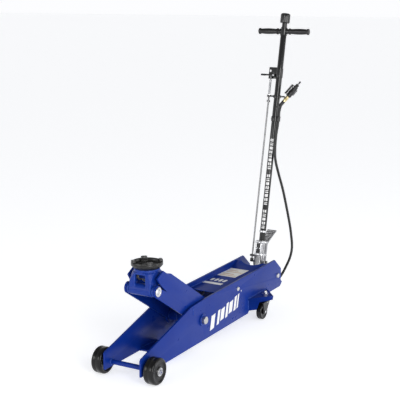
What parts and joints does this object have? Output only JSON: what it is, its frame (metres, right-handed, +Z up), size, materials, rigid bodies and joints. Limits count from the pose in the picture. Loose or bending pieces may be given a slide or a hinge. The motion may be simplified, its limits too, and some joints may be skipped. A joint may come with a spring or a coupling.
{
  "type": "trolley jack",
  "caption": "Long-chassis hydraulic trolley jack: lift arm with swivel saddle, steel wheels and casters, pump handle with cross grip and air hose.",
  "frame": {"origin": "on the floor, in the middle of the footprint of the jack without its air hose", "axes": "+Z up, -Y towards the saddle and the front wheels, +X to the side of the air valve"},
  "size_m": [0.336, 1.4516, 1.3863],
  "materials": {
    "blue_paint": "glossy royal blue paint",
    "black_wheel": "glossy black moulded tread and hub",
    "black_paint": "gloss black paint",
    "black_cast": "black painted casting",
    "zinc": "bright zinc plating",
    "bare_steel": "machined steel",
    "chrome": "polished hard chrome",
    "rubber": "matt black rubber",
    "brass": "machined brass",
    "grey_paint": "dark grey paint"
  },
  "bodies": {
    "frame": {"left_side_plate": "blue_paint", "right_side_plate": "blue_paint", "front_axle": "blue_paint", "axle_hardware": "zinc", "lower_cross_plate": "blue_paint", "top_cover": "blue_paint", "left_outrigger": "blue_paint", "right_outrigger": "blue_paint", "arm_pivot_shaft": "bare_steel", "spring_cross_rod": "zinc", "yoke_pivot_bolts": "zinc", "hydraulic_cylinder": "grey_paint", "reservoir_tube": "blue_paint", "pump_block": "grey_paint", "air_motor": "grey_paint", "hose_gland": "brass", "rod_bracket": "blue_paint", "caster_kingpins": "zinc", "plunger_spring": "zinc", "return_springs": "zinc"},
    "arm": {"left_arm_plate": "blue_paint", "right_arm_plate": "blue_paint", "arm_web": "blue_paint", "arm_pivot_tube": "blue_paint", "lever_plates": "blue_paint", "lever_pin": "bare_steel", "saddle_pin": "zinc", "pin_spacers": "blue_paint"},
    "lever_roller": {"lever_roller": "bare_steel"},
    "saddle_mount": {"saddle_mount": "blue_paint"},
    "saddle": {"saddle": "black_cast"},
    "levelling_rods": {"radius_rods": "bare_steel"},
    "ram": {"ram_rod": "chrome"},
    "left_wheel": {"left_front_wheel": "black_wheel"},
    "right_wheel": {"right_front_wheel": "black_wheel"},
    "left_fork": {"left_caster_fork": "black_paint"},
    "right_fork": {"right_caster_fork": "black_paint"},
    "left_caster": {"left_caster_wheel": "black_wheel"},
    "right_caster": {"right_caster_wheel": "black_wheel"},
    "handle": {"handle_socket": "zinc", "handle_tube": "black_paint", "t_bar": "black_paint", "hand_grips": "rubber", "foot_pedal": "zinc", "control_bracket": "black_paint", "rod_guide": "black_paint", "hose_clip": "black_paint", "tube_collar": "zinc", "air_hose": "rubber", "hose_fitting": "brass", "air_valve": "black_paint"},
    "yoke_roller": {"yoke_roller": "bare_steel"},
    "release_knob": {"release_knob": "black_wheel", "release_rod": "bare_steel"},
    "release_spindle": {"release_valve": "bare_steel"},
    "control_lever": {"control_lever": "black_paint"},
    "control_rod": {"control_rod": "zinc", "rod_sleeve": "bare_steel"},
    "plunger": {"pump_plunger": "chrome"},
    "valve_lever": {"valve_lever": "black_paint"}
  },
  "joints": [
    {"name": "arm_lift", "type": "hinge", "parent": "frame", "child": "arm", "pos_m": [0, -0.24584, 0.131], "axis": [-1, 0, 0], "range_deg": [-45.5, 28], "deforming": ["return_springs"]},
    {"name": "lever_roller_spin", "type": "hinge", "parent": "arm", "child": "lever_roller", "pos_m": [0, -0.25594, 0.06578], "axis": [-1, 0, 0], "continuous": true},
    {"name": "mount_level", "type": "hinge", "parent": "arm", "child": "saddle_mount", "pos_m": [0, -0.5662, 0.33352], "axis": [-1, 0, 0], "range_deg": [-28.2, 45.7]},
    {"name": "saddle_swivel", "type": "hinge", "parent": "saddle_mount", "child": "saddle", "pos_m": [0, -0.5332, 0.41552], "axis": [0, 0, 1], "continuous": true},
    {"name": "rods_swing", "type": "hinge", "parent": "frame", "child": "levelling_rods", "pos_m": [0, -0.22084, 0.176], "axis": [-1, 0, 0], "range_deg": [-45.7, 28.2]},
    {"name": "ram_slide", "type": "slide", "parent": "frame", "child": "ram", "axis": [0, -1, 0], "range_m": [-0.05, 0.0308]},
    {"name": "left_wheel_roll", "type": "hinge", "parent": "frame", "child": "left_wheel", "pos_m": [0.1217, -0.67184, 0.054], "axis": [-1, 0, 0], "continuous": true},
    {"name": "right_wheel_roll", "type": "hinge", "parent": "frame", "child": "right_wheel", "pos_m": [-0.1217, -0.67184, 0.054], "axis": [-1, 0, 0], "continuous": true},
    {"name": "left_caster_swivel", "type": "hinge", "parent": "frame", "child": "left_fork", "pos_m": [0.1195, 0.27816, 0.08], "axis": [0, 0, 1], "continuous": true},
    {"name": "right_caster_swivel", "type": "hinge", "parent": "frame", "child": "right_fork", "pos_m": [-0.1195, 0.27816, 0.08], "axis": [0, 0, 1], "continuous": true},
    {"name": "left_caster_roll", "type": "hinge", "parent": "left_fork", "child": "left_caster", "pos_m": [0.1195, 0.24716, 0.0375], "axis": [-1, 0, 0], "continuous": true},
    {"name": "right_caster_roll", "type": "hinge", "parent": "right_fork", "child": "right_caster", "pos_m": [-0.1195, 0.24716, 0.0375], "axis": [-1, 0, 0], "continuous": true},
    {"name": "handle_swing", "type": "hinge", "parent": "frame", "child": "handle", "pos_m": [0, 0.47116, 0.148], "axis": [-1, 0, 0], "range_deg": [-6, 60], "deforming": ["air_hose"]},
    {"name": "yoke_roller_spin", "type": "hinge", "parent": "handle", "child": "yoke_roller", "pos_m": [0.0135, 0.47116, 0.113], "axis": [-1, 0, 0], "continuous": true},
    {"name": "plunger_slide", "type": "slide", "parent": "frame", "child": "plunger", "axis": [0, -1, 0], "range_m": [-0.0036, 0.0352], "deforming": ["plunger_spring"]},
    {"name": "release_turn", "type": "hinge", "parent": "handle", "child": "release_knob", "pos_m": [0, 0.69351, 1.33461], "axis": [0, 0.2045, 0.9789], "range_deg": [0, 360]},
    {"name": "spindle_turn", "type": "hinge", "parent": "frame", "child": "release_spindle", "pos_m": [0, 0.44669, 0.15311], "axis": [0, 0.2045, 0.9789], "range_deg": [0, 360]},
    {"name": "control_lever_press", "type": "hinge", "parent": "handle", "child": "control_lever", "pos_m": [-0.026, 0.63456, 1.09152], "axis": [0, -0.9789, 0.2045], "range_deg": [0, 12]},
    {"name": "control_rod_slide", "type": "slide", "parent": "handle", "child": "control_rod", "axis": [0, -0.2045, -0.9789], "range_m": [0, 0.0029], "stiffness_N_per_m": 4000, "springref_m": -0.0025},
    {"name": "valve_lever_press", "type": "hinge", "parent": "handle", "child": "valve_lever", "pos_m": [0.07658, 0.62948, 1.04103], "axis": [0.7361, -0.6769, 0], "range_deg": [0, 6], "stiffness_Nm_per_rad": 0.8, "springref_deg": -5.73}
  ],
  "couplings": [
    {"joint": "mount_level", "follows": "arm_lift", "ratio": -1},
    {"joint": "rods_swing", "follows": "arm_lift", "ratio": 1},
    {"joint": "ram_slide", "follows": "arm_lift", "m_per_rad": 0.0624},
    {"joint": "plunger_slide", "follows": "handle_swing", "m_per_rad": 0.0334},
    {"joint": "spindle_turn", "follows": "release_turn", "ratio": 1},
    {"joint": "control_lever_press", "follows": "control_rod_slide", "rad_per_m": 71.429}
  ]
}
